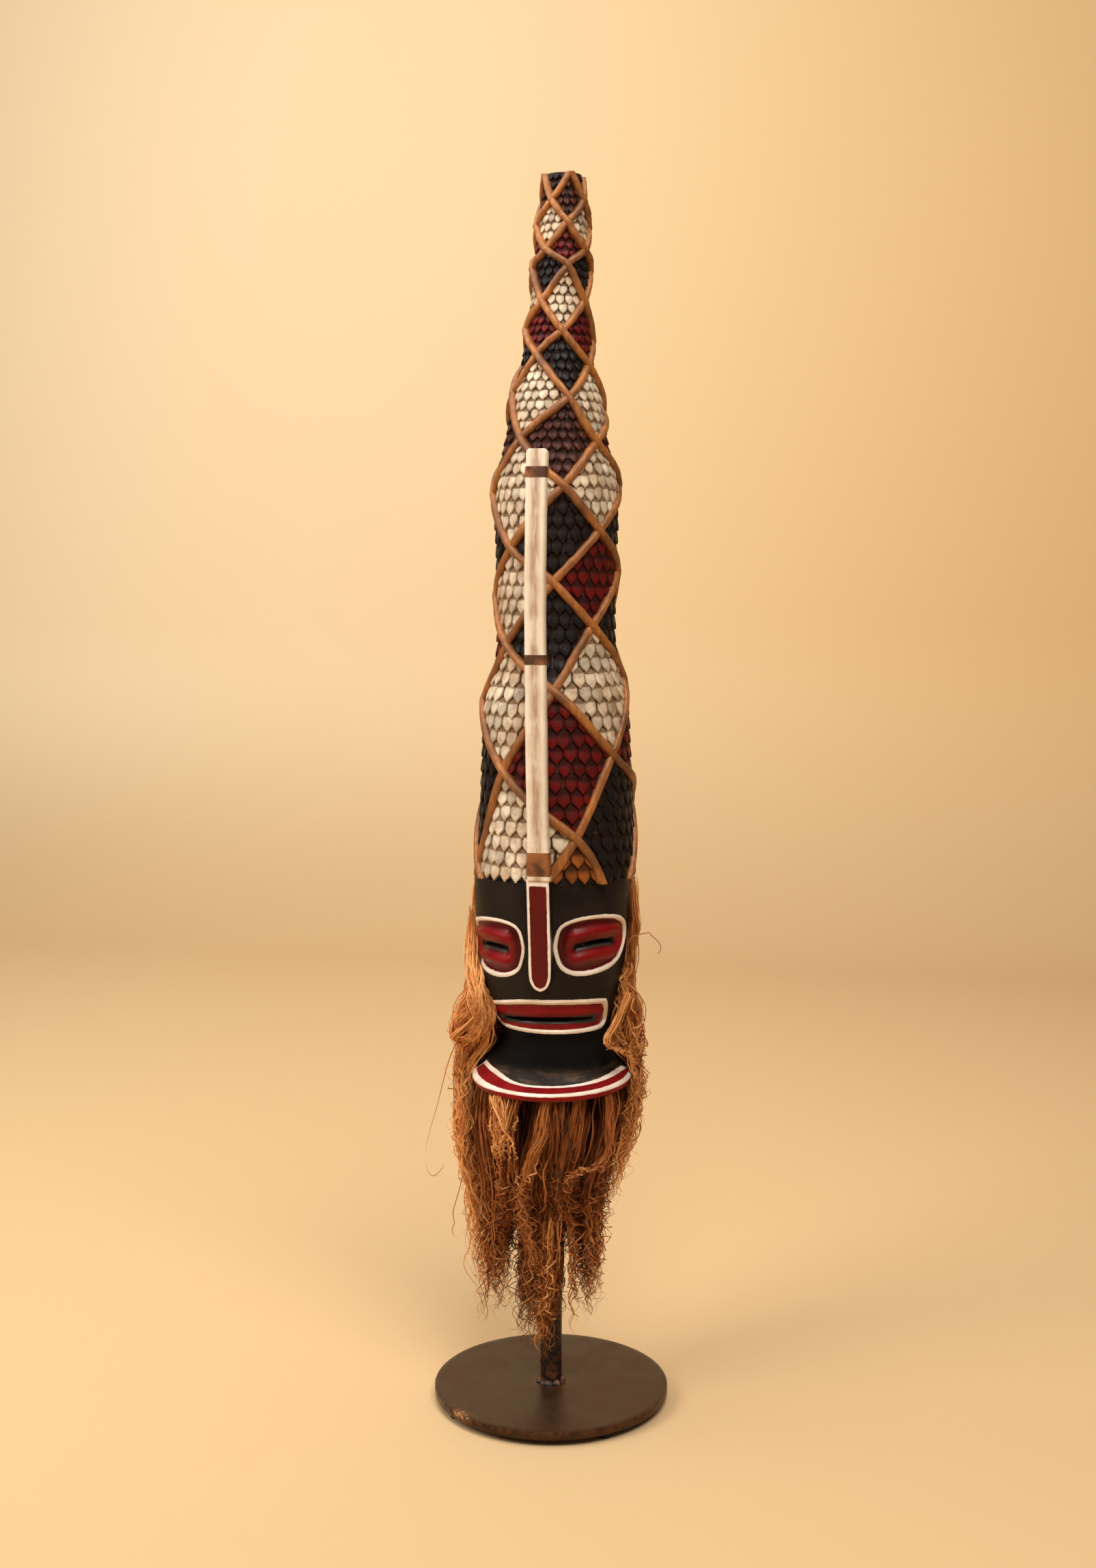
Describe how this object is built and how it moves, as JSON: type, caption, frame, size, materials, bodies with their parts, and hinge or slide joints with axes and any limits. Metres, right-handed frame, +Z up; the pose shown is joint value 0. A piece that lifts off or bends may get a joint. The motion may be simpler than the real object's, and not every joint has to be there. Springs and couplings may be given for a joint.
{
  "type": "tall wooden mask on a stand",
  "caption": "Tall carved wooden mask with a scaled and latticed crown, a free bar rising from the nose, raffia hair and beard, on a steel rod with a round footed base.",
  "frame": {"origin": "On the floor, under the middle of the round base plate.", "axes": "+Z up along the rod and the crown, -Y is the direction the face looks, +X is to the right of a viewer who faces the mask."},
  "size_m": [0.28, 0.28, 1.4345],
  "materials": {
    "painted_wood": "carved wood painted satin black, dark red and cream white, with bare orange-brown strips, worn at the edges",
    "raffia": "dry orange-brown raffia fibres, wavy and loose",
    "black_steel": "blackened round steel rod, satin, with rust spots at its foot",
    "brown_steel": "dark brown patinated steel plate, satin, with a rusty edge",
    "foot_rubber": "plain black rubber"
  },
  "bodies": {
    "root": {"mask_carving": "painted_wood", "raffia_hair": "raffia", "raffia_beard": "raffia", "stand_rod": "black_steel", "stand_plate": "brown_steel", "stand_foot_1": "foot_rubber", "stand_foot_2": "foot_rubber", "stand_foot_3": "foot_rubber", "stand_foot_4": "foot_rubber"}
  },
  "joints": []
}
